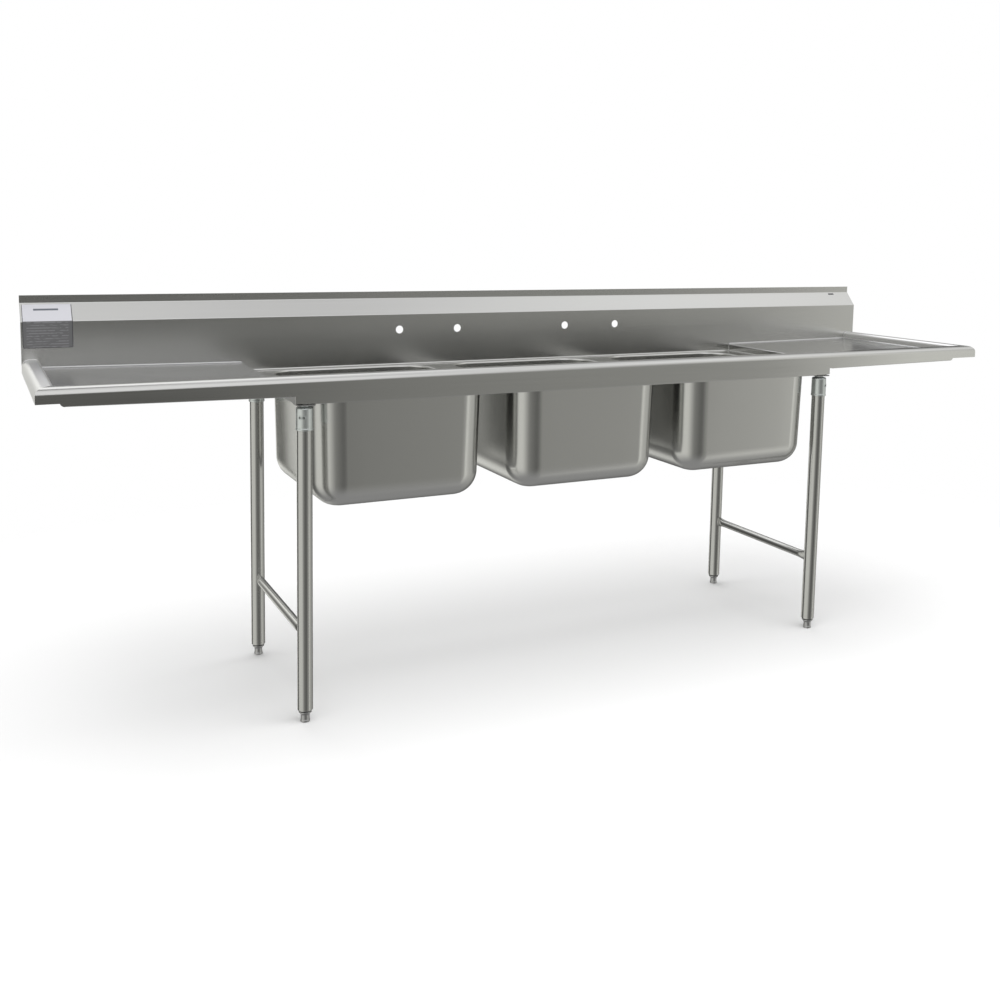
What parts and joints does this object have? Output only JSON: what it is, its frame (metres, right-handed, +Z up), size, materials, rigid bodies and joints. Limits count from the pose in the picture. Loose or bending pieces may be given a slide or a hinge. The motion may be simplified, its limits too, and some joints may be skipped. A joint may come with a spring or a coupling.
{
  "type": "three compartment sink",
  "caption": "Stainless steel commercial sink with coved bowls in a row, a drainboard at each end, a backsplash with faucet holes, and tube legs on adjustable feet.",
  "frame": {"origin": "on the floor under the middle of the sink's overall box", "axes": "+X along the sink to the right, -Y to the front, +Y to the wall, +Z up"},
  "size_m": [3.048, 0.626, 1.118],
  "materials": {
    "sheet_stainless": "satin, brushed lengthwise",
    "drawn_stainless": "soft satin, drawn and blended",
    "tube_stainless": "satin tube",
    "mill_steel": "mill finish, unpolished",
    "zinc_plate": "bright zinc over a casting",
    "foot_steel": "turned",
    "dark_steel": "blackened",
    "polished_stainless": "polished",
    "black_rubber": "matt",
    "label_film": "printed film, blank",
    "tag_plastic": "matt, blank"
  },
  "bodies": {
    "sink": {"apron": "sheet_stainless", "backsplash": "sheet_stainless", "bowl_centre": "drawn_stainless", "bowl_left": "drawn_stainless", "bowl_right": "drawn_stainless", "crossrail_left": "tube_stainless", "crossrail_right": "tube_stainless", "drain_body_centre": "polished_stainless", "drain_body_left": "polished_stainless", "drain_body_right": "polished_stainless", "drain_gasket_centre": "black_rubber", "drain_gasket_left": "black_rubber", "drain_gasket_right": "black_rubber", "drain_locknut_centre": "polished_stainless", "drain_locknut_left": "polished_stainless", "drain_locknut_right": "polished_stainless", "drainboard_channel_left": "sheet_stainless", "drainboard_channel_right": "sheet_stainless", "drainboard_left": "sheet_stainless", "drainboard_right": "sheet_stainless", "foot_insert_front_left": "mill_steel", "foot_insert_front_right": "mill_steel", "foot_insert_rear_left": "mill_steel", "foot_insert_rear_right": "mill_steel", "front_rim": "sheet_stainless", "label": "label_film", "leg_channel_left": "mill_steel", "leg_channel_right": "mill_steel", "leg_front_left": "tube_stainless", "leg_front_right": "tube_stainless", "leg_rear_left": "tube_stainless", "leg_rear_right": "tube_stainless", "leg_socket_front_left": "zinc_plate", "leg_socket_front_right": "zinc_plate", "leg_socket_rear_left": "zinc_plate", "leg_socket_rear_right": "zinc_plate", "serial_tag": "tag_plastic", "set_screws": "dark_steel", "side_rim_left": "sheet_stainless", "side_rim_right": "sheet_stainless", "sink_deck": "sheet_stainless"},
    "adjustable_foot_front_left": {"foot_front_left": "foot_steel"},
    "adjustable_foot_front_right": {"foot_front_right": "foot_steel"},
    "adjustable_foot_rear_left": {"foot_rear_left": "foot_steel"},
    "adjustable_foot_rear_right": {"foot_rear_right": "foot_steel"},
    "lift_strainer_basket_centre": {"strainer_basket_centre": "polished_stainless"},
    "lift_strainer_basket_left": {"strainer_basket_left": "polished_stainless"},
    "lift_strainer_basket_right": {"strainer_basket_right": "polished_stainless"}
  },
  "joints": [
    {"name": "foot_front_left_height", "type": "slide", "parent": "sink", "child": "adjustable_foot_front_left", "axis": [0, 0, -1], "range_m": [-0.003, 0.022]},
    {"name": "foot_front_right_height", "type": "slide", "parent": "sink", "child": "adjustable_foot_front_right", "axis": [0, 0, -1], "range_m": [-0.003, 0.022]},
    {"name": "foot_rear_left_height", "type": "slide", "parent": "sink", "child": "adjustable_foot_rear_left", "axis": [0, 0, -1], "range_m": [-0.003, 0.022]},
    {"name": "foot_rear_right_height", "type": "slide", "parent": "sink", "child": "adjustable_foot_rear_right", "axis": [0, 0, -1], "range_m": [-0.003, 0.022]},
    {"name": "strainer_basket_centre_lift", "type": "slide", "parent": "sink", "child": "lift_strainer_basket_centre", "axis": [0, 0, 1], "range_m": [0, 0.35]},
    {"name": "strainer_basket_left_lift", "type": "slide", "parent": "sink", "child": "lift_strainer_basket_left", "axis": [0, 0, 1], "range_m": [0, 0.35]},
    {"name": "strainer_basket_right_lift", "type": "slide", "parent": "sink", "child": "lift_strainer_basket_right", "axis": [0, 0, 1], "range_m": [0, 0.35]}
  ]
}
